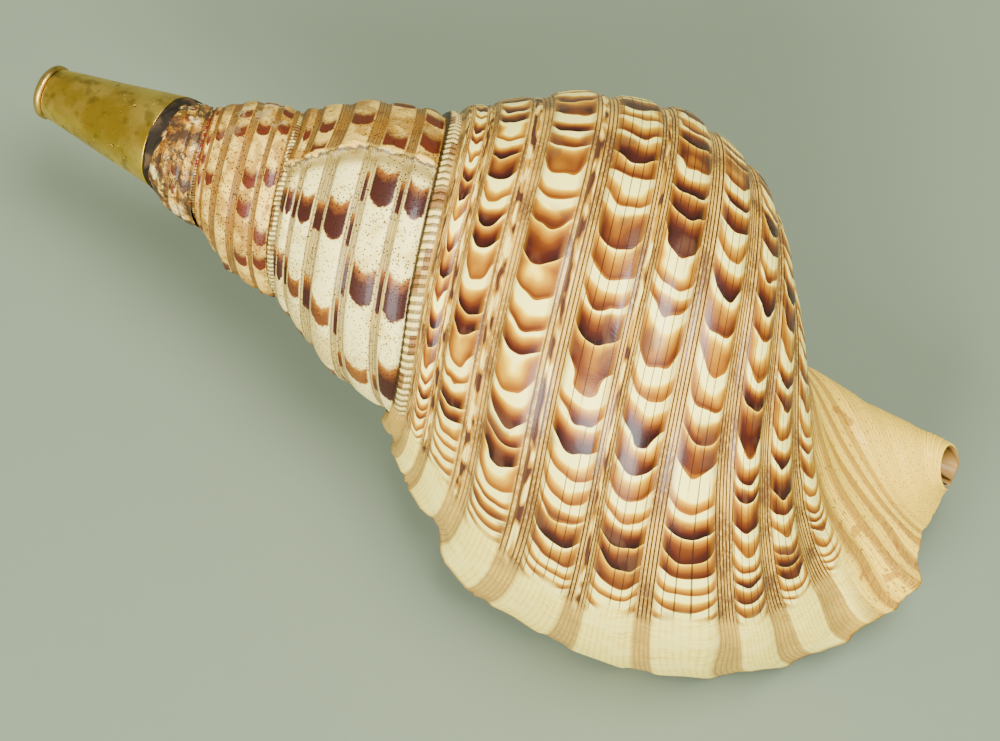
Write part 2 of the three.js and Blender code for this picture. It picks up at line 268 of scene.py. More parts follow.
def rib_drift(places, angles):
    """How far the ribs of the last whorl swing towards the canal before they reach the lip."""
    degrees = np.degrees(angles)
    swing = smoothstep(degrees, -105, -42) * (1 - 0.75 * smoothstep(degrees, -34, 0))
    reach = smoothstep(places, 5.8, 6.9) * (1 - smoothstep(places, 10.5, 12))
    return RIB_SWING * swing * reach


def relief(places, angles):
    """How far each point stands off the smooth wall; places and angles are grids."""
    size = np.exp(GROWTH * angles)
    places = places - rib_drift(places, angles)
    off = np.abs(places - np.round(places))
    valley = smoothstep(off, CROWN_HALF, VALLEY_EDGE)
    neck = neck_share(places)
    late = lip_share(angles)
    height = -VALLEY_DEPTH * size * valley * (1 - 0.75 * neck) * (1 - 0.55 * late)
    dome = 1 - (np.minimum(off, CROWN_HALF) / CROWN_HALF) ** 2
    height += CROWN_DOME * size * (dome - 0.6) * (1 - neck) * (1 - valley)
    for place, half, tall in THIN_RIBS:
        height += tall * size * (1 - smoothstep(np.abs(places - place), 0.3 * half, half))
    height += LIP_CROWN * late * (1 - valley) * (1 - neck)
    folds = 0.5 + 0.5 * np.cos(BEADS * angles + BEAD_SLANT * places)
    band = (1 - smoothstep(places, 0.45, 0.55)) * (1 - late)
    height += BEAD_HEIGHT * size * band * (folds - 0.6)
    older = smoothstep(-angles, 1.1 * TURN, 1.25 * TURN)
    height -= OLD_SUTURE_DEPTH * size * older * np.exp(-((places / 0.3) ** 2))
    nearest = np.minimum(np.round(angles / VARIX_STEP), -1)
    # the old lip's edge waves with the ribs that ended in it
    edge = varix_edge(places)
    since = angles - nearest * VARIX_STEP + edge
    fade = smoothstep(places, 0, 0.6) * (1 - smoothstep(places, 8, 11))
    rise = 0.75 * np.exp(-((since / VARIX_RISE) ** 2))
    rise += 0.25 * np.exp(-((since / (2.5 * VARIX_FALL)) ** 2))
    fall = np.maximum(0, 1 - since / VARIX_FALL)
    height += VARIX_HEIGHT * size * fade * np.where(since < 0, rise, fall)
    crest = np.exp(-((since / (0.8 * VARIX_FALL)) ** 2))
    height += VARIX_CREST * size * fade * crest * (0.8 + 0.5 * np.cos(2.3 * TURN * places))
    return height


def varix_edge(places):
    """How far back the old lip's edge lies at each profile place."""
    lag = VARIX_LAG * smoothstep(places, 0.4, 3.6)
    waves = math.radians(1.0) * np.cos(TURN * places) + math.radians(0.5) * np.sin(3.1 * TURN * places)
    return lag - VARIX_LEAD + waves


def surface(places, angles, height):
    """Points raised by height off the smooth wall, one row for each angle."""
    count = PROFILE_END + 1
    weights = profile_weights(places, count)
    step = 0.02
    ahead = profile_weights(np.minimum(places + step, PROFILE_END), count)
    behind = profile_weights(np.maximum(places - step, 0), count)
    radius_rows, along_rows = rows_at(angles)
    slope_r = radius_rows @ (ahead - behind).T
    slope_x = along_rows @ (ahead - behind).T
    length = np.hypot(slope_r, slope_x)
    late = lip_share(angles)[:, None]
    flare = weights @ flare_rows()
    neck = neck_share(places)
    scallop = np.cos(TURN * places) * (1 - neck) * smoothstep(places, 0.5, 1.5)
    bite = np.maximum(0, 1 - np.abs(places - NOTCH_AT) / NOTCH_HALF)
    bite = bite * np.clip(1 + angles / NOTCH_FROM, 0, 1)[:, None]
    radius = radius_rows @ weights.T + height * slope_x / length
    radius = radius + late * (flare[:, 1] - SCALLOP * scallop) - NOTCH_DEPTH * bite
    along = along_rows @ weights.T - height * slope_r / length + late * flare[:, 0]
    turn = angles[:, None] + late * (np.radians(flare[:, 2]) - SCALLOP_LIFT * scallop)
    curl = smoothstep(-angles, CURL_FROM, CURL_TO)[:, None]
    curl = curl * smoothstep(places, LAST_RIB - 1, LAST_RIB + 1.5)
    radius = np.maximum(radius - CURL_DEPTH * curl, 0.6)
    along = along - CURL_BACK * curl * smoothstep(places, LAST_RIB + 1, PROFILE_END)
    lean = SPIRE_LEAN * np.maximum(0, LEAN_FROM - along)
    return np.stack([along, radius * np.cos(turn) + lean, radius * np.sin(turn)], -1)


def profile_places(end):
    """Profile places, closest together on the flanks of the ribs."""
    places = [k + offset for k in range(NECK_FROM) for offset in RIB_OFFSETS]
    places += list(np.arange(NECK_FROM, PROFILE_END + 0.01, NECK_STEP))
    return np.array([place for place in places if place <= end + 1e-6])


def sheet(places, angles, side):
    """One sheet of the shell: 0 is the outside, 1 the inside of the wall."""
    grid_s, grid_a = np.meshgrid(places, angles)
    if side == 0:
        height = relief(grid_s, grid_a)
        inner_lip = smoothstep(-grid_a, INNER_LIP_FROM, INNER_LIP_TO)
        inner_lip = inner_lip * smoothstep(grid_s, SUTURE_AT, SUTURE_AT + 0.4)
        height = height * (1 - 0.75 * inner_lip) + INNER_LIP_SWELL * inner_lip
    else:
        late = lip_share(grid_a)
        wall = (WALL + (LIP_WALL - WALL) * late) * np.exp(0.5 * GROWTH * grid_a)
        ripple = 0.5 * late * np.cos(TURN * grid_s) * (1 - neck_share(grid_s))
        height = -wall + ripple
    return surface(places, angles, height)


def tuck(points, angles):
    """Adds two columns before the suture that bury the sheet's edge in the whorl before it."""
    size = np.exp(GROWTH * angles)[:, None]
    edge = points[:, 0]
    lean = SPIRE_LEAN * np.maximum(0, LEAN_FROM - edge[:, 0])
    middle = np.stack([edge[:, 0], lean, np.zeros(len(edge))], -1)
    inward = middle - edge
    inward /= np.linalg.norm(inward, axis=1)[:, None]
    along = np.array([1.0, 0, 0])
    first = edge + size * (inward - 0.9 * along)
    second = edge + size * (SUTURE_TUCK * inward - 0.4 * along)
    return np.concatenate([second[:, None], first[:, None], points], 1)


def cut_tip(points, places):
    """Slants the canal's end, and draws it in a little towards its back."""
    across = points[..., 1:] / np.linalg.norm(points[..., 1:], axis=-1, keepdims=True)
    towards = across @ np.array(TIP_CUT_TOWARDS)
    share = smoothstep(places, PROFILE_END - TIP_REACH, PROFILE_END)
    points = points.copy()
    points[..., 0] -= share * np.maximum(TIP_CUT + TIP_SLANT * towards, 0)
    points[..., 1:] *= 1 - TIP_PINCH * share[..., None]
    points[..., 1] -= TIP_SHIFT * share
    return points


def spout(points):
    """Turns the canal's tip in, as a rim and a short tube with a closed end inside it."""
    edge = points[:, 0]
    middle = np.array([0, -TIP_SHIFT, 0])
    radial = (edge - middle) * np.array([0, 1, 1])
    radius = np.linalg.norm(radial, axis=1)[:, None]
    ray = radial / radius
    rings = [edge[:, None]]
    for forward, inset in SPOUT_RINGS:
        reach = np.maximum(radius - inset, 0.5)
        ring = np.hstack([edge[:, :1] + forward, (middle + reach * ray)[:, 1:]])
        rings.append(ring[:, None])
    return np.concatenate(rings, 1)


class MeshParts:
    """Collects grids of points into one mesh that carries the growth coordinates."""

    def __init__(self):
        self.points = []
        self.faces = []
        self.places = []
        self.turns = []
        self.sides = []
        self.count = 0

    def add_grid(self, points, places, turns, side):
        """Adds rows of points with their profile places, growth in turns and side of the wall."""
        rows, columns = points.shape[:2]
        index = np.arange(rows * columns).reshape(rows, columns) + self.count
        quads = np.stack([index[:-1, :-1], index[:-1, 1:], index[1:, 1:], index[1:, :-1]], -1)
        self.faces.append(quads.reshape(-1, 4))
        self.points.append(points.reshape(-1, 3))
        self.places.append(np.broadcast_to(places, (rows, columns)).ravel())
        self.turns.append(np.broadcast_to(turns, (rows, columns)).ravel())
        self.sides.append(np.broadcast_to(side, (rows, columns)).ravel())
        self.count += rows * columns

    def build(self, name):
        points = self.shape(np.concatenate(self.points))
        mesh = bpy.data.meshes.new(name)
        mesh.from_pydata(points * MM, [], np.concatenate(self.faces).tolist())
        fields = {"rib_place": self.places, "growth_turn": self.turns, "inside": self.sides}
        for label, values in fields.items():
            attribute = mesh.attributes.new(label, "FLOAT", "POINT")
            attribute.data.foreach_set("value", np.concatenate(values).astype(np.float32))
        mesh.shade_smooth()
        mesh.update()
        piece = bpy.data.objects.new(name, mesh)
        bpy.context.scene.collection.objects.link(piece)
        return piece

    def shape(self, points):
        """Points as they go into the mesh; the shell's own parts change them."""
        return points


class ShellParts(MeshParts):
    def shape(self, points):
        """Rests the shell on its worn spots, cuts its apex at the seat, and keeps it in its box."""
        points = to_frame(points)
        out = (points - np.array(SEAT)) @ np.array(MOUTH) + CLEARANCE
        points = points - np.maximum(out, 0)[:, None] * np.array(MOUTH)
        low, high = (np.array(corner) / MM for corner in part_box("shell"))
        return ease_into(points, low, high)


def ease_into(points, low, high):
    """Draws what lies past a box softly back inside, and flattens what lies under its floor."""
    points = points.copy()
    for axis in range(3):
        for sign, limit in ((1, high[axis]), (-1, low[axis])):
            if axis == 2 and sign == -1:
                points[:, 2] = np.maximum(points[:, 2], low[2])
                continue
            depth = sign * points[:, axis] - (sign * limit - EASE_MARGIN)
            over = depth.max() - EASE_MARGIN
            if over <= 0:
                continue
            t = np.clip(depth / (EASE_MARGIN + over), 0, 1)
            points[:, axis] -= sign * over * t ** 3
    return points


def growth_rows(steps):
    """Growth angles of the mesh's rows, in radians."""
    return np.radians(np.concatenate([np.arange(*step) for step in steps]))


def make_shell():
    """The shell in one piece: the last whorls with their lip, the canal's rim and the spire."""
    parts = ShellParts()
    outer_places = profile_places(PROFILE_END)
    last = growth_rows(LAST_ROWS)
    outside = cut_tip(sheet(outer_places, last, 0), outer_places)
    # the lip's rounded edge, then back along the inside of the wall
    edge_out = outside[-1]
    inner_angles = -growth_rows(INSIDE_ROWS)
    inside = cut_tip(sheet(outer_places, inner_angles, 1), outer_places)
    edge_in = inside[0]
    forward = np.array([0, 0, 1.0])
    bend = []
    for part in RIM_SHARES:
        bulge = RIM_BULGE * math.sin(math.pi * part)
        bend.append(edge_out * (1 - part) + edge_in * part + bulge * forward)
    bend = np.array(bend)
    full = np.concatenate([outside, bend, inside])
    angles = np.concatenate([last, np.zeros(len(bend)), inner_angles])
    bend_sides = np.linspace(0.2, 0.8, len(bend))
    sides = np.concatenate([np.zeros(len(last)), bend_sides, np.ones(len(inside))])
    tucked = tuck(full, angles)
    places = np.concatenate([[0, 0], outer_places])
    drifted = places[None, :] - rib_drift(places[None, :], angles[:, None])
    parts.add_grid(tucked, drifted, angles[:, None] / TURN, sides[:, None])
    # the canal's rim, only on the outside sheet and where the tube is open
    tip_angles = last[last > SPOUT_FROM]
    tip = spout(outside[-len(tip_angles):, -1:])
    depth = np.clip(np.arange(tip.shape[1]) / 5, 0, 1)[None, :]
    parts.add_grid(tip, float(PROFILE_END), tip_angles[:, None] / TURN, depth)
    # older whorls, seen only as far as the next one covers them
    spire_places = profile_places(SUTURE_AT + SUTURE_SPARE)
    spire = growth_rows(SPIRE_ROWS)
    old = tuck(sheet(spire_places, spire, 0), spire)
    old_places = np.concatenate([[0, 0], spire_places])
    parts.add_grid(old, old_places[None, :], spire[:, None] / TURN, 0.0)
    return parts.build("shell_skin")


# ---------- materials ----------
# a mix node has sockets for each kind of value: these are its amount and the ones for colours
MIX_AMOUNT, MIX_UNDER, MIX_OVER, MIX_RESULT = 0, 6, 7, 2


def linear(hex_colour):
    """A colour written as #rrggbb, as the shader wants it."""
    channels = [int(hex_colour[i:i + 2], 16) / 255 for i in (1, 3, 5)]
    return tuple(c / 12.92 if c <= 0.04045 else ((c + 0.055) / 1.055) ** 2.4 for c in channels) + (1.0,)


class Field:
    """A number that a material's nodes work out for each point of the surface."""

    def __init__(self, tree, socket):
        self.tree = tree
        self.socket = socket

    def __add__(self, other):
        return maths(self.tree, "ADD", self, other)

    __radd__ = __add__

    def __sub__(self, other):
        return maths(self.tree, "SUBTRACT", self, other)

    def __rsub__(self, other):
        return maths(self.tree, "SUBTRACT", other, self)

    def __mul__(self, other):
        return maths(self.tree, "MULTIPLY", self, other)

    __rmul__ = __mul__

    def __truediv__(self, other):
        return maths(self.tree, "DIVIDE", self, other)

    def __abs__(self):
        return maths(self.tree, "ABSOLUTE", self)


def plug(tree, value, socket):
    """Links a socket to a field, or sets it to a number or a colour."""
    if isinstance(value, Field):
        tree.links.new(value.socket, socket)
    else:
        socket.default_value = value


def maths(tree, operation, *values):
    node = tree.nodes.new("ShaderNodeMath")
    node.operation = operation
    for value, socket in zip(values, node.inputs):
        plug(tree, value, socket)
    return Field(tree, node.outputs[0])


def fade(x, low, high):
    """0 where x is at low and 1 at high, with a smooth step between."""
    node = x.tree.nodes.new("ShaderNodeMapRange")
    node.interpolation_type = "SMOOTHSTEP"
    flipped = high < low
    plug(x.tree, x, node.inputs["Value"])
    node.inputs["From Min"].default_value = min(low, high)
    node.inputs["From Max"].default_value = max(low, high)
    node.inputs["To Min"].default_value = 1.0 if flipped else 0.0
    node.inputs["To Max"].default_value = 0.0 if flipped else 1.0
    return Field(x.tree, node.outputs["Result"])


def fract(x):
    return maths(x.tree, "FRACT", x)


def floor(x):
    return maths(x.tree, "FLOOR", x)


def wave(x):
    return maths(x.tree, "SINE", x)


def stripes(x, low, high):
    """One stripe for each whole number of x, fading from low to high, measured from its middle."""
    return fade(abs(fract(x) - 0.5), low, high)


def bound(x):
    """A number held between 0 and 1."""
    return maths(x.tree, "MINIMUM", maths(x.tree, "MAXIMUM", x, 0.0), 1.0)


def most(*fields):
    result = fields[0]
    for field in fields[1:]:
        result = maths(result.tree, "MAXIMUM", result, field)
    return result


def spot(x, y=0.0, z=0.0):
    """A point made of three numbers, for a pattern to be read at."""
    tree = next(value.tree for value in (x, y, z) if isinstance(value, Field))
    node = tree.nodes.new("ShaderNodeCombineXYZ")
    for value, socket in zip((x, y, z), node.inputs):
        plug(tree, value, socket)
    return Field(tree, node.outputs[0])


def noise(at, scale=1.0, detail=2.0, rough=0.5):
    """Smooth random values from 0 to 1, mostly near 0.5."""
    node = at.tree.nodes.new("ShaderNodeTexNoise")
    plug(at.tree, at, node.inputs["Vector"])
    node.inputs["Scale"].default_value = scale
    node.inputs["Detail"].default_value = detail
    node.inputs["Roughness"].default_value = rough
    return Field(at.tree, node.outputs["Fac"])


def chance(at):
    """A random number from 0 to 1 for each whole-numbered point."""
    node = at.tree.nodes.new("ShaderNodeTexWhiteNoise")
    node.noise_dimensions = "3D"
    plug(at.tree, at, node.inputs["Vector"])
    return Field(at.tree, node.outputs["Value"])


def specks(at, scale, size, share):
    """Small round dots, of this size in cells, in about this share of the cells."""
    node = at.tree.nodes.new("ShaderNodeTexVoronoi")
    plug(at.tree, at, node.inputs["Vector"])
    node.inputs["Scale"].default_value = scale
    dot = fade(Field(at.tree, node.outputs["Distance"]), size, 0.6 * size)
    split = at.tree.nodes.new("ShaderNodeSeparateColor")
    at.tree.links.new(node.outputs["Color"], split.inputs["Color"])
    return dot * fade(Field(at.tree, split.outputs["Red"]), share + 0.02, share - 0.02)


def paint(amount, under, over):
    """Colour over laid on colour under by amount."""
    tree = amount.tree
    node = tree.nodes.new("ShaderNodeMix")
    node.data_type = "RGBA"
    plug(tree, amount, node.inputs[MIX_AMOUNT])
    for value, place in ((under, MIX_UNDER), (over, MIX_OVER)):
        colour = linear(value) if isinstance(value, str) else value
        plug(tree, colour, node.inputs[place])
    return Field(tree, node.outputs[MIX_RESULT])


def colour_ramp(x, stops):
    node = x.tree.nodes.new("ShaderNodeValToRGB")
    plug(x.tree, x, node.inputs["Fac"])
    ramp = node.color_ramp
    while len(ramp.elements) < len(stops):
        ramp.elements.new(0.5)
    for element, (place, colour) in zip(ramp.elements, stops):
        element.position = place
        element.color = linear(colour)
    return Field(x.tree, node.outputs["Color"])


def new_material(name, constants):
    """A material, its nodes and its shader, with these constants set on the shader's sockets."""
    material = bpy.data.materials.new(name)
    material.use_nodes = True
    tree = material.node_tree
    shader = tree.nodes["Principled BSDF"]
    for socket, value in constants.items():
        shader.inputs[socket].default_value = value
    return material, tree, shader


def attribute(tree, name):
    node = tree.nodes.new("ShaderNodeAttribute")
    node.attribute_name = name
    return Field(tree, node.outputs["Fac"])


def object_point(tree):
    node = tree.nodes.new("ShaderNodeTexCoord")
    return Field(tree, node.outputs["Object"])


def set_bump(tree, shader, height, distance):
    """Raises the surface's shading by height times distance, in metres."""
    node = tree.nodes.new("ShaderNodeBump")
    node.inputs["Strength"].default_value = 1.0
    node.inputs["Distance"].default_value = distance
    plug(tree, height, node.inputs["Height"])
    tree.links.new(node.outputs["Normal"], shader.inputs["Normal"])


# ---------- the shell's colours and pattern ----------
# colours are for the shader, and come out paler in the picture
CREAM = "#fff07c"
YELLOW = "#f4ca22"
STRAW = "#be8a06"
GOLD = "#945c04"
RUST = "#62300c"
MAROON = "#3e160a"
DARK_MAROON = "#1f0905"
MAUVE = "#5a3924"
CORD = "#8a6122"
CORD_LIGHT = "#c99a3a"
GROOVE = "#241606"
LIP_CREAM = "#fff068"
LIP_TAN = "#c8a03c"
CHALK = "#ecdc84"
CHALK_TAN = "#94793a"

# a crescent's colours, from its pale back to its dark edge
CRESCENT_STOPS = (
    (0.0, CREAM), (0.04, YELLOW), (0.13, STRAW), (0.28, GOLD),
    (0.48, RUST), (0.70, MAROON), (0.98, DARK_MAROON),
)
BLOTCH_STOPS = ((0.0, "#966008"), (0.4, "#643610"), (0.85, "#35150b"))

# the broad ribs' painted crowns: place in the profile and half width
CROWNS = (
    (1.20, 0.17), (2.03, 0.27), (2.97, 0.31),
    (4.00, 0.37), (5.07, 0.365), (6.03, 0.335),
    (7.02, 0.315), (7.97, 0.30), (8.93, 0.27),
)
CRESCENTS = 45               # crescents along a rib in one turn, before they crowd near the lip
BOW = 3.9 / 360              # how far a crescent's horns trail, in turns
DARK_ROWS = 15               # rows of darker crescents in one turn
BLOTCHES = 9.4               # blotches along a rib of the whorl before, in one turn
OLD_BLOTCHES = 19.0          # and on the older growth
CUTS = 6.6                   # fine incised lines in one rib spacing
LIP_ZONE = -0.094            # the crescents end here, in turns
VARIX_TURN = -475 / 360      # the old lip that shows on the spire
WORN_UNTIL = -0.98           # the spire's worn pattern ends here, in turns,
FRESH_FROM = -0.80           # and the last whorl's is full from here on


def crown_fields(s):
    """Where the painted crowns are, which one it is, and the place across it from -1 to 1."""
    crown = across = number = None
    for index, (centre, half) in enumerate(CROWNS):
        u = (s - centre) * (1.0 / half)
        near = maths(s.tree, "LESS_THAN", abs(u), 1.25)
        mask = fade(abs(u), 1.08, 0.92)
        crown = mask if crown is None else crown + mask
        across = u * near if across is None else across + u * near
        number = near * float(index) if number is None else number + near * float(index)
    return crown, across, number


def crescent_colour(s, turn, u, k):
    """Cream cells along each rib, each dark behind an edge that is convex towards the lip."""
    wander = noise(spot(turn * 30.0, k * 5.1, 0.5), 1.0, 1.0)
    uneven = noise(spot(u * 1.3, turn * 70.0, k * 3.3), 1.0, 0.0) - 0.5
    skew = noise(spot(turn * 30.0, k * 4.3, 6.0), 1.0, 0.0) - 0.5
    across = u + skew * 0.5
    bowed = turn + BOW * (across * across) + uneven * (0.75 * BOW) + wander * 0.03
    crowd = most(turn + 0.25, 0.0)
    phase = CRESCENTS * bowed + 110.0 * crowd * crowd + 0.37 * k
    cell = floor(phase)
    f = fract(phase)
    luck = chance(spot(cell, k, 1.0))
    luck2 = chance(spot(cell, k, 2.0))
    drift = noise(spot(turn * 9.0, k * 1.7, 3.0), 1.0, 1.0)
    row = 0.5 + 0.5 * wave(turn * (TURN * DARK_ROWS) + 1.9 * k + 5.0 * drift)
    strength = bound(1.35 * row * (0.30 + luck) + 0.40 * luck2 - 0.20) * fade(s, 9.3, 8.2)
    strength = strength * (0.15 + 0.85 * fade(turn, LIP_ZONE - 0.012, LIP_ZONE - 0.05))
    start = 0.46 - 0.52 * strength
    rising = bound((f - start) / (0.93 - start))
    edge = fade(f, 1.0, 0.965)
    dark = rising * edge * (0.42 + 0.60 * strength)
    colour = colour_ramp(dark, CRESCENT_STOPS)
    stain = noise(spot(u * 0.8, turn * 34.0, k * 2.3), 1.0, 2.0)
    tinted = fade(stain, 0.52, 0.64) * fade(row, 0.3, 0.75) * fade(f, 0.02, 0.2)
    colour = paint(0.62 * tinted, colour, MAUVE)
    outline = fade(f, 0.88, 0.95) * edge * fade(strength, 0.6, 0.2)
    return paint(0.6 * outline, colour, GOLD), row


def interstice_colour(s, row, turn):
    """Fine cords, straw to tan, with grooves between them that are darkest away from the suture."""
    groove = stripes(s * 16.5, 0.20, 0.09)
    broken = noise(spot(s * 30.0, turn * 260.0, 0.0), 1.0, 1.0)
    darker = 0.4 + 0.6 * fade(s, 2.6, 4.2)
    banding = noise(spot(s * 1.5, turn * 26.0, 8.0), 1.0, 2.0)
    cord = paint(fade(banding, 0.35, 0.6), CORD_LIGHT, CORD)
    cord = paint(0.6 * fade(broken, 0.45, 0.7), cord, "#e0b856")
    cord = paint(bound(groove * (0.3 + 0.7 * darker) * (0.75 + 0.6 * broken)), cord, GROOVE)
    stain = fade(banding, 0.5, 0.62) * fade(row, 0.35, 0.8)
    return paint(0.6 * stain, cord, MAUVE), groove


def thin_rib_colour(s, turn):
    """The thin ribs' own mask and their spotted colour."""
    mask = None
    for place, half, _ in THIN_RIBS:
        this = fade(abs(s - place), half * 1.05, half * 0.8)
        mask = this if mask is None else most(mask, this)
    beat = turn * 62.0 + 1.6 * noise(spot(turn * 22.0, s, 2.0)) + floor(s * 1.6) * 0.37
    patches = noise(spot(beat * 0.8, s * 9.0, 2.0), 1.0, 1.0)
    spotted = paint(fade(patches, 0.38, 0.50), "#fade6c", "#b07e14")
    return mask, paint(fade(patches, 0.50, 0.60), spotted, "#4a2a1c")


def suture_band(s, turn):
    """The folded band along the suture, with rusty spots and a painted shade line in its crease: its
    mask, colour and folds.
    """
    bead = turn * float(BEADS) + s * (BEAD_SLANT / TURN)
    luck = chance(spot(floor(bead * 0.4), floor(s * 4.0), 6.0))
    colour = paint(fade(luck, 0.55, 0.75) * 0.85, "#f2d878", "#7a3c10")
    fold = fade(wave(bead * TURN), 0.3, -1.0)
    colour = paint(0.8 * fold, colour, "#5a3c14")
    # painted shade: a dark line along the suture's crease, where the whorl meets the one before
    colour = paint(fade(s, 0.10, 0.02), colour, "#3a260e")
    return fade(s, 0.46, 0.38), colour, fold


def lip_colour_field(crown, s, turn, striae, patchy, cords):
    """The last growth: cream ribs, tan to mauve between them, with growth lines and a golden edge."""
    between = 1.0 - crown
    fine = fade(striae, 0.46, 0.60)
    lines = stripes(s * 13.0, 0.26, 0.10)
    colour = paint(0.85 * between, LIP_CREAM, LIP_TAN)
    colour = paint(0.40 * between, colour, cords)
    colour = paint(0.22 * fade(patchy, 0.52, 0.40) * between, colour, MAUVE)
    colour = paint(0.4 * lines * crown, colour, "#e2ae20")
    colour = paint(0.4 * fine, colour, "#cc9826")
    colour = paint(0.55 * fade(patchy, 0.48, 0.60) * crown, colour, CREAM)
    colour = paint(fade(striae, 0.56, 0.62) * (0.15 + 0.35 * between), colour, "#5c3c1c")
    return paint(0.75 * fade(turn, -0.009, -0.001), colour, "#b07a1a")


def neck_colour_field(s, turn, striae, place):
    """The canal's side: fine flutes that fan out to the lip, cream on top and tan between."""
    flute = stripes(s * 2.0 + 0.3, 0.16, 0.38)
    threads = stripes(s * 9.3, 0.20, 0.08)
    near_lip = fade(turn, -0.20, -0.05)
    fluted = flute * fade(s, 12.2, 11.0)
    marks = noise(spot(s * 16.0, turn * 120.0, 0.0), 1.0, 1.0)
    colour = paint(0.8 * fluted, "#f3ca38", "#a8781c")
    colour = paint(0.3 * threads, colour, "#8e6428")
    lashes = fade(striae, 0.50, 0.56) * (0.1 + 0.9 * fluted) * near_lip
    colour = paint(0.85 * lashes, colour, "#5a3c16")
    colour = paint(0.4 * fade(striae, 0.50, 0.64), colour, "#c08f38")
    colour = paint(0.7 * fade(marks, 0.62, 0.68), colour, "#6e4c20")
    rust = fade(noise(place, 95.0, 1.0), 0.66, 0.70)
    return paint(0.6 * rust, colour, "#915c14"), fluted


def chalky_colour(s, k, bowed, sides, grooves, between, clouds):
    """The whorl before the last: chalky, with large dark blotches on its ribs."""
    chalk = paint(0.8 * between, CHALK, CHALK_TAN)
    chalk = paint(0.7 * fade(clouds, 0.46, 0.60), chalk, "#c2a64e")
    chalk = paint(0.6 * grooves, chalk, "#5c4420")
    later = maths(s.tree, "GREATER_THAN", s, 3.45)
    row = bowed * BLOTCHES + 0.50 * later + 0.71
    f = fract(row)
    luck = chance(spot(floor(row), k, 8.0))
    start = 0.72 - 0.30 * luck
    span = bound((f - start) / (0.97 - start))
    patch = fade(span, 0.02, 0.20) * fade(f, 0.995, 0.97) * sides
    core = fade(span, 0.02, 0.62) * (0.6 + 0.4 * fade(f, 0.985, 0.93)) * fade(luck, -0.3, 0.5)
    core = bound(core + 0.5 * (clouds - 0.5))
    return paint(patch, chalk, colour_ramp(core, BLOTCH_STOPS))


def older_colour(s, turn, k, bowed, sides, grooves, crown, clouds):
    """The growth before the old lip: orange and stained, with small blotches."""
    old = paint(crown, "#8a6628", "#e2ba4c")
    old = paint(0.6 * grooves, old, "#4c3214")
    stain = fade(noise(spot(s * 1.6, turn * 30.0, 7.0), 1.0, 2.0), 0.50, 0.62)
    old = paint(0.55 * stain, old, "#663c0e")
    old = paint(0.75 * fade(clouds, 0.44, 0.60), old, "#8e5e0c")
    row = bowed * OLD_BLOTCHES + 0.3 * k
    f = fract(row)
    luck = chance(spot(floor(row), k, 9.0))
    patch = fade(f, 0.25, 0.6) * fade(f, 1.0, 0.95) * fade(luck, 0.40, 0.55) * sides
    return paint(patch * crown, old, "#552008")


def worn_colour(s, turn, u, k, crown, clouds, place):
    """The spire: two growths that meet at the old lip's golden edge, and their pinholes."""
    between = 1.0 - crown
    grooves = stripes(s * 11.0, 0.22, 0.06) * between
    ragged = noise(spot(s * 10.0, turn * 260.0, 1.0), 1.0, 3.0)
    bowed = turn + BOW * (u * u) + 0.010 * (ragged - 0.5)
    sides = fade(abs(u), 1.02, 0.84)
    chalk = chalky_colour(s, k, bowed, sides, grooves, between, clouds)
    old = older_colour(s, turn, k, bowed, sides, grooves, crown, clouds)
    edge = turn + (VARIX_LAG / TURN) * fade(s, 0.4, 3.6) - VARIX_TURN
    worn = paint(fade(edge, 0.0015, -0.0015), chalk, old)
    bare = fade(edge, -0.001, 0.002) * fade(edge + 0.012 * clouds, 0.034, 0.018)
    worn = paint(0.9 * bare, worn, "#8c7636")
    rim = fade(abs(edge + 0.002), 0.0035, 0.0015)
    worn = paint(0.8 * rim, worn, "#d4aa40")
    shade = fade(abs(edge - 0.0022), 0.0016, 0.0004)
    worn = paint(0.7 * shade, worn, "#3c2812")
    pins = specks(place, 900.0, 0.36, 0.55)
    return paint(pins * fade(clouds, 0.34, 0.50), worn, "#3a2410"), pins


def apex_crust(colour, s, turn, place):
    """The grime near the brass: rusty patches, dark specks, and pitch smeared past its ring."""
    near = fade(turn, -2.30, -2.60)
    rusty = fade(noise(place, 70.0, 3.0, 0.6), 0.44, 0.58)
    colour = paint(0.75 * near * rusty, colour, "#7c4a0c")
    creamy = fade(noise(place, 95.0, 3.0, 0.6), 0.55, 0.62)
    colour = paint(0.8 * near * creamy, colour, "#e8d48c")
    smear = fade(noise(place, 150.0, 4.0, 0.7) - 0.10 * fade(turn, -3.0, -2.5), 0.47, 0.56)
    colour = paint(0.9 * near * smear * fade(turn, -2.45, -2.75), colour, "#3a2a1a")
    fine = fade(noise(place, 420.0, 3.0, 0.7), 0.56, 0.64)
    colour = paint(0.8 * near * fine, colour, "#2c1c10")
    red = fade(abs(s - 0.35), 0.65, 0.35) * fade(abs(turn + 2.34), 0.11, 0.08)
    streaks = fade(noise(spot(s * 12.0, turn * 90.0, 3.0), 1.0, 2.0), 0.42, 0.52)
    return paint(red * streaks, colour, "#8c0614")


def incised_lines(s, turn):
    """Thin lines cut along the ribs towards the canal; each breaks off and goes on again."""
    scratch = noise(spot(s * 3.0, turn * 9.0, 4.0), 1.0, 1.0)
    cut = stripes(s * CUTS + 0.25 * scratch, 0.075, 0.035) * fade(s, 3.2, 3.7)
    return cut * fade(noise(spot(floor(s * CUTS) * 3.7, turn * 6.0, 1.0)), 0.36, 0.42)


def lip_mask(s, turn, clouds):
    """1 where the crescents have given way to the plain lip, along a wavy line."""
    wavy = turn + 0.006 * wave(s * TURN + 1.0) + 0.012 * clouds
    wavy = wavy + 0.016 * fade(s, 4.2, 5.2) - 0.008 * fade(s, 6.4, 7.2)
    return fade(wavy, LIP_ZONE, LIP_ZONE + 0.014)


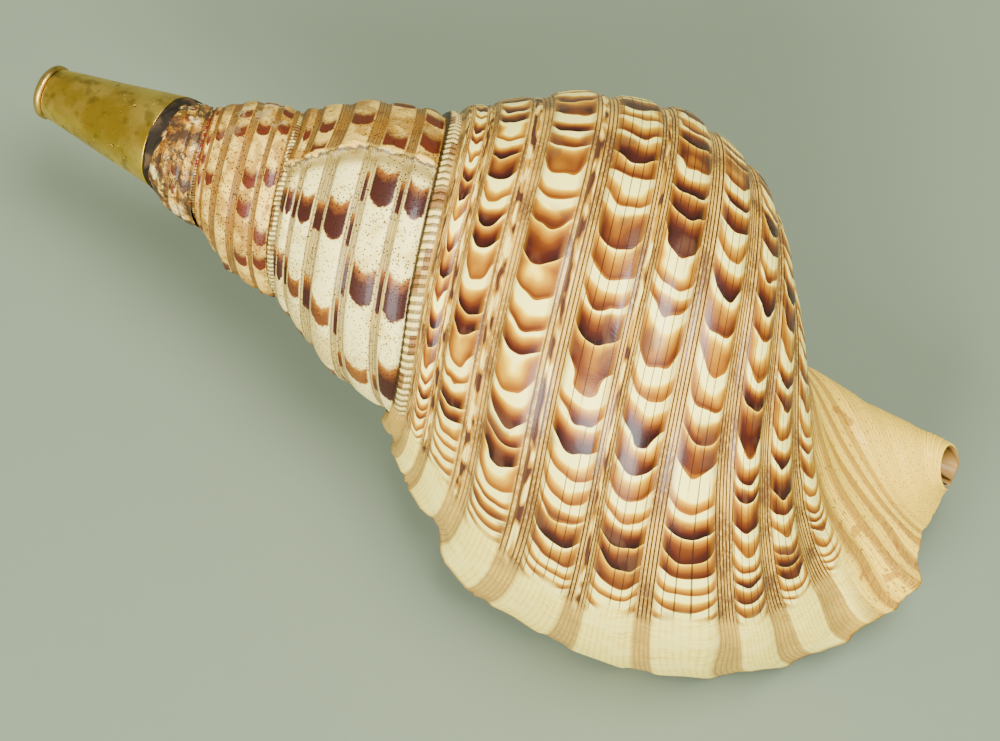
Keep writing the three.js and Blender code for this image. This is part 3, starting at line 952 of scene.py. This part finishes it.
def inner_colour_field(s, turn, u):
    """The aperture: pale at the lip and tan deeper in, with dark bars at its edge."""
    bars = fade(abs(u), 0.9, 1.1) * fade(turn, -0.08, -0.02)
    colour = paint(fade(turn, -0.02, -0.5), "#eccb74", "#bd7630")
    colour = paint(0.75 * bars, colour, "#43200f")
    return paint(fade(s, 12.0, 13.5), colour, "#8e6a30")


def shell_material():
    """The shell's colours, gloss and fine relief, tied to its growth coordinates."""
    material, tree, shader = new_material("shell_enamel", {
        "Coat Weight": 0.10,
        "Coat Roughness": 0.10,
        "Specular IOR Level": 0.22,
    })
    s = attribute(tree, "rib_place")
    turn = attribute(tree, "growth_turn")
    inside = attribute(tree, "inside")
    place = object_point(tree)
    crown, u, k = crown_fields(s)
    clouds = noise(place, 55.0, 3.0, 0.6)
    ripple = noise(spot(s * 3.0, turn * 40.0, 9.0), 1.0, 1.0)
    striae = noise(spot(s * 2.0, turn * 900.0 + 14.0 * ripple, 2.0), 1.0, 2.0, 0.7)

    crescents, row = crescent_colour(s, turn, u, k)
    crescents = paint(0.85 * incised_lines(s, turn), crescents, "#2c180b")
    border = fade(abs(u), 0.72, 0.98) * crown
    crescents = paint(0.5 * border, crescents, GOLD)
    cords, groove = interstice_colour(s, row, turn)
    colour = paint(crown, cords, crescents)
    thin, thin_colour = thin_rib_colour(s, turn)
    colour = paint(thin, colour, thin_colour)

    at_lip = lip_mask(s, turn, clouds)
    colour = paint(at_lip, colour, lip_colour_field(crown, s, turn, striae, clouds, cords))
    neck_colour, fluted = neck_colour_field(s, turn, striae, place)
    on_neck = fade(s + 4.0 * (turn - LIP_ZONE), 8.7, 9.4)
    colour = paint(on_neck, colour, neck_colour)

    worn, pins = worn_colour(s, turn, u, k, crown, clouds, place)
    young = fade(turn, WORN_UNTIL, FRESH_FROM)
    colour = paint(young, worn, colour)
    band, folded, fold = suture_band(s, turn)
    band = band * (1.0 - at_lip)
    colour = paint(band, colour, folded)
    colour = apex_crust(colour, s, turn, place)
    within = fade(inside, 0.35, 0.6)
    colour = paint(within, colour, inner_colour_field(s, turn, u))

    plug(tree, colour, shader.inputs["Base Color"])
    roughness = 0.27 + 0.12 * clouds + 0.12 * (1.0 - young) + 0.12 * at_lip
    roughness = roughness + 0.3 * fade(s, 12.8, 13.6)
    plug(tree, roughness, shader.inputs["Roughness"])
    height = 0.3 * striae * (0.4 + 0.9 * at_lip)
    height = height - 0.6 * groove * (1.0 - crown) * (1.0 - 0.6 * at_lip)
    height = height - 0.8 * pins * (1.0 - young) - 0.8 * fluted * on_neck
    height = height - 1.6 * fold * band
    set_bump(tree, shader, height * (1.0 - within), 0.0007)
    return material


def brass_material(name, tint, worn):
    """Old brass in two tints, clouded, tarnished and pitted."""
    material, tree, shader = new_material(name, {"Metallic": 1.0})
    place = object_point(tree)
    cloud = noise(place, 45.0, 5.0, 0.6)
    colour = paint(fade(cloud, 0.35, 0.65), tint, worn)
    tarnish = noise(place, 160.0, 3.0)
    colour = paint(0.45 * fade(tarnish, 0.5, 0.7), colour, "#4d4018")
    pit = most(specks(place, 260.0, 0.22, 0.12), specks(place, 700.0, 0.20, 0.20))
    colour = paint(0.9 * pit, colour, "#241c0c")
    plug(tree, colour, shader.inputs["Base Color"])
    roughness = 0.27 + 0.20 * cloud + 0.3 * pit
    plug(tree, roughness, shader.inputs["Roughness"])
    set_bump(tree, shader, 0.5 * cloud + 0.2 * tarnish - 0.8 * pit, 0.0006)
    return material


def pitch_material():
    """Dull dark pitch with a dusty bloom."""
    material, tree, shader = new_material("pitch", {"Roughness": 0.85, "Specular IOR Level": 0.15})
    place = object_point(tree)
    grain = noise(place, 300.0, 4.0, 0.7)
    dust = noise(place, 90.0, 3.0)
    colour = paint(fade(dust, 0.45, 0.7), "#1e180e", "#503e26")
    plug(tree, colour, shader.inputs["Base Color"])
    set_bump(tree, shader, grain + dust, 0.0012)
    return material


# ---------- turned pieces ----------
def around(outline, wobble):
    """Rows of points about the mouthpiece's axis; wobble is added to the radius."""
    across = MOUTH.orthogonal().normalized()
    other = MOUTH.cross(across)
    angles = np.arange(ROUND_SEGMENTS + 1) * TURN / ROUND_SEGMENTS
    points = []
    for angle in angles:
        ray = math.cos(angle) * across + math.sin(angle) * other
        row = []
        for radius, out in outline:
            extra = wobble(angle, out) if wobble else 0.0
            row.append(SEAT + MOUTH * out + ray * (radius + extra))
        points.append([tuple(point) for point in row])
    return np.array(points)


def turned_piece(name, outline, material, node, wobble=None):
    """A piece turned about the mouthpiece's axis, in place of a CAD node."""
    parts = MeshParts()
    grid = around(outline + [outline[0]], wobble)
    parts.add_grid(grid, 0.0, 0.0, 0.0)
    piece = parts.build(name)
    weld(piece)
    dress(piece, material, node)


def weld(piece):
    """Joins the points that meet where a turned piece closes."""
    mesh = bmesh.new()
    mesh.from_mesh(piece.data)
    bmesh.ops.remove_doubles(mesh, verts=mesh.verts, dist=1e-6)
    bmesh.ops.recalc_face_normals(mesh, faces=mesh.faces)
    mesh.to_mesh(piece.data)
    mesh.free()


def dress(piece, material, node):
    """Gives a piece its material, and its place in the frame as the look of a CAD node."""
    piece.data.materials.append(material)
    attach(piece, "root")
    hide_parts(node)


def rounded(outline, radius):
    """Rounds every corner of a closed (radius, out) outline."""
    result = []
    count = len(outline)
    for i, corner in enumerate(outline):
        here = np.array(corner, float)
        back = np.array(outline[i - 1], float) - here
        ahead = np.array(outline[(i + 1) % count], float) - here
        reach = min(radius, 0.45 * np.linalg.norm(back), 0.45 * np.linalg.norm(ahead))
        start = here + back / np.linalg.norm(back) * reach
        end = here + ahead / np.linalg.norm(ahead) * reach
        for step in range(CORNER_STEPS + 1):
            t = step / CORNER_STEPS
            result.append(tuple((1 - t) ** 2 * start + 2 * t * (1 - t) * here + t * t * end))
    return result


def make_mouthpiece():
    """The hollow brass cone, and the worn ring on its narrow end."""
    def hammered(angle, out):
        dent = 0.12 * math.sin(3 * angle + 0.7) * math.sin(out / 19)
        return dent + 0.06 * math.sin(7 * angle + out / 6)

    slope = CONE_BASE - CONE_TIP
    outer = [(CONE_BASE - slope * t, CONE_LENGTH * t) for t in np.linspace(0, 1, 15)]
    inner = [(radius - CONE_WALL, out) for radius, out in reversed(outer)]
    brass = brass_material("old_brass", "#c9a232", "#e6c452")
    walls = rounded(outer + inner, 0.3)
    turned_piece("mouthpiece_tube", walls, brass, "mouthpiece_cone", hammered)
    end = RIM_START + RIM_LENGTH
    profile = [
        (RIM_RADIUS - 1.0, RIM_START), (RIM_RADIUS - 0.1, RIM_START + 0.9),
        (RIM_RADIUS - 0.1, end - 1.4), (RIM_RADIUS - 1.4, end),
        (RIM_HOLE + 1.6, end), (RIM_HOLE, end - 1.8), (RIM_HOLE, RIM_START),
    ]
    worn = brass_material("worn_brass", "#ae8e3e", "#d0b05c")
    turned_piece("mouthpiece_ring", rounded(profile, 0.6), worn, "mouthpiece_rim")


def make_seal():
    """The lumpy ring of pitch between the brass and the shell."""
    across = MOUTH.orthogonal().normalized()
    thick_at = math.atan2(MOUTH.cross(across).y, across.y)

    def lumps(angle, out):
        swell = 0.7 * math.sin(3 * angle + 1) + 0.5 * math.sin(7 * angle + out)
        swell += 0.35 * math.sin(13 * angle + 2 * out) - 0.4
        # its far edge sinks into the shell, least at the back, so the ring looks smeared on
        sunk = 2.0 - 1.5 * math.cos(angle - thick_at) + 0.6 * math.sin(9 * angle)
        return swell - sunk * smoothstep(-out, 0.8, 5.0)

    outline = [
        (21.4, -0.2), (22.3, -0.8), (22.6, -3.0), (22.3, -5.0),
        (21.2, -6.4), (15.0, -6.6), (15.0, -0.4),
    ]
    pitch = pitch_material()
    turned_piece("pitch_ring", rounded(outline, 0.8), pitch, "pitch_seal", lumps)


# ---------- the studio ----------
def make_camera():
    data = bpy.data.cameras.new("camera")
    data.sensor_fit = "HORIZONTAL"
    data.sensor_width = SENSOR_WIDTH
    data.lens = SENSOR_WIDTH * FOCAL_PIXELS / IMAGE_WIDTH
    data.clip_end = 20.0
    camera = bpy.data.objects.new("camera", data)
    bpy.context.scene.collection.objects.link(camera)
    turn = Matrix.Rotation(CAMERA_TURN.length, 3, CAMERA_TURN.normalized())
    # its columns are right, down and forward; Blender's camera has right, up and backward
    fitted = TURN_TO_FRAME @ turn.transposed()
    axes = Matrix.Identity(3)
    axes.col[0] = fitted.col[0]
    axes.col[1] = -fitted.col[1]
    axes.col[2] = -fitted.col[2]
    place = (TURN_TO_FRAME @ CAMERA_AT + SHIFT) * MM
    camera.matrix_world = Matrix.Translation(place) @ axes.to_4x4()
    bpy.context.scene.camera = camera


def make_floor():
    """A plain sheet of paper."""
    bpy.ops.mesh.primitive_plane_add(size=8.0, location=(0, 0, 0))
    floor_piece = bpy.context.object
    floor_piece.name = "floor"
    material, tree, shader = new_material("floor_paper", {"Roughness": 0.85})
    grain = noise(object_point(tree), 60.0, 3.0)
    colour = paint(0.2 * grain, "#5f6a53", "#59634d")
    plug(tree, colour, shader.inputs["Base Color"])
    floor_piece.data.materials.append(material)


def add_light(name, place, aim, size, power):
    data = bpy.data.lights.new(name, "AREA")
    data.shape = "RECTANGLE"
    data.size, data.size_y = size
    data.energy = power
    light = bpy.data.objects.new(name, data)
    light.location = place
    light.rotation_euler = (Vector(aim) - Vector(place)).to_track_quat("-Z", "Y").to_euler()
    bpy.context.scene.collection.objects.link(light)


def make_lights():
    """A high key, a broad light from the front, and a soft pale surround."""
    centre = (0.0, 0.0, 0.06)
    add_light("key", (0.50, 0.22, 1.9), centre, (0.9, 0.9), 92)
    add_light("front", (0.05, -1.5, 1.2), centre, (1.3, 0.9), 96)
    world = bpy.data.worlds.new("studio")
    world.use_nodes = True
    background = world.node_tree.nodes["Background"]
    background.inputs["Color"].default_value = linear("#dfe3dc")
    background.inputs["Strength"].default_value = 0.6
    bpy.context.scene.world = world


make_camera()
make_floor()
make_lights()
shell = make_shell()
dress(shell, shell_material(), "shell")
make_mouthpiece()
make_seal()
